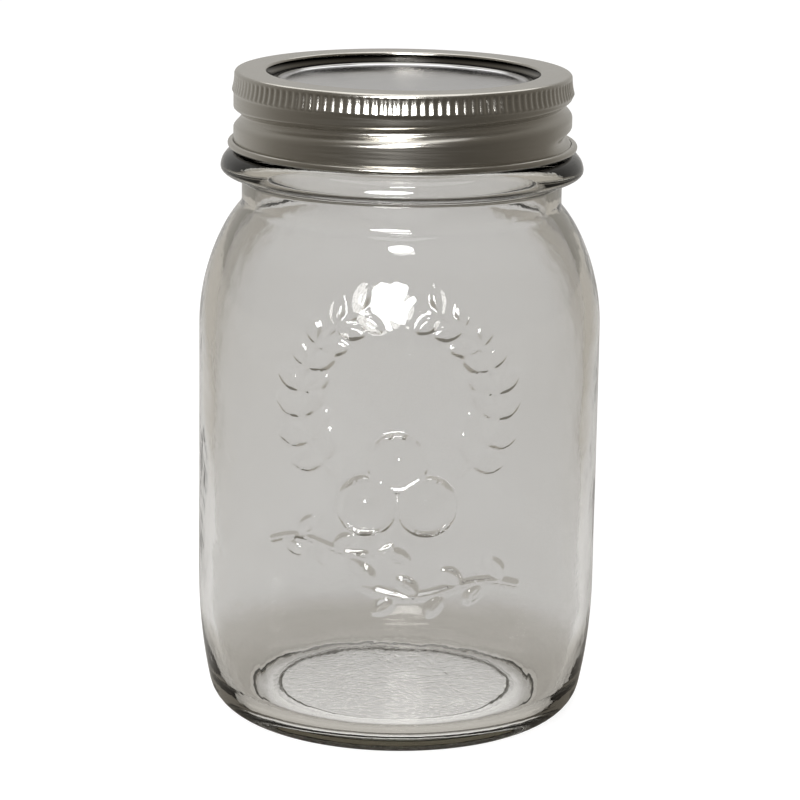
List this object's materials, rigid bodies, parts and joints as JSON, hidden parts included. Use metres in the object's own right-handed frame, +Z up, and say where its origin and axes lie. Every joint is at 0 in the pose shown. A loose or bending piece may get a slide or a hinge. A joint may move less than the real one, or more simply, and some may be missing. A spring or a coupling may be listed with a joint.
{
  "type": "mason jar",
  "caption": "Clear glass canning jar with rounded shoulders and a screw neck, closed by a flat metal lid disc held down by a ribbed screw band.",
  "frame": {"origin": "on the jar's axis, in the plane that its foot stands on", "axes": "+Z up along the jar's axis, -Y towards the side that carries the moulded relief, +X to that side's right"},
  "size_m": [0.0876, 0.0876, 0.142],
  "materials": {
    "glass": "clear, smooth, slightly warm grey",
    "disc_tinplate": "bright stamped tinplate",
    "sealing_compound": "matt moulded compound",
    "band_tinplate": "satin rolled tinplate"
  },
  "bodies": {
    "jar": {"glass_jar": "glass"},
    "lid": {"lid_disc": "disc_tinplate", "sealing_ring": "sealing_compound"},
    "band": {"screw_band": "band_tinplate"}
  },
  "joints": [
    {"name": "lid_lift", "type": "slide", "parent": "jar", "child": "lid", "axis": [0, 0, 1], "range_m": [0, 0.0255]},
    {"name": "band_turn", "type": "hinge", "parent": "lid", "child": "band", "pos_m": [0, 0, 0.142], "axis": [0, 0, 1], "range_deg": [0, 1440]}
  ],
  "couplings": [
    {"joint": "lid_lift", "follows": "band_turn", "m_per_rad": 0.0010106}
  ]
}
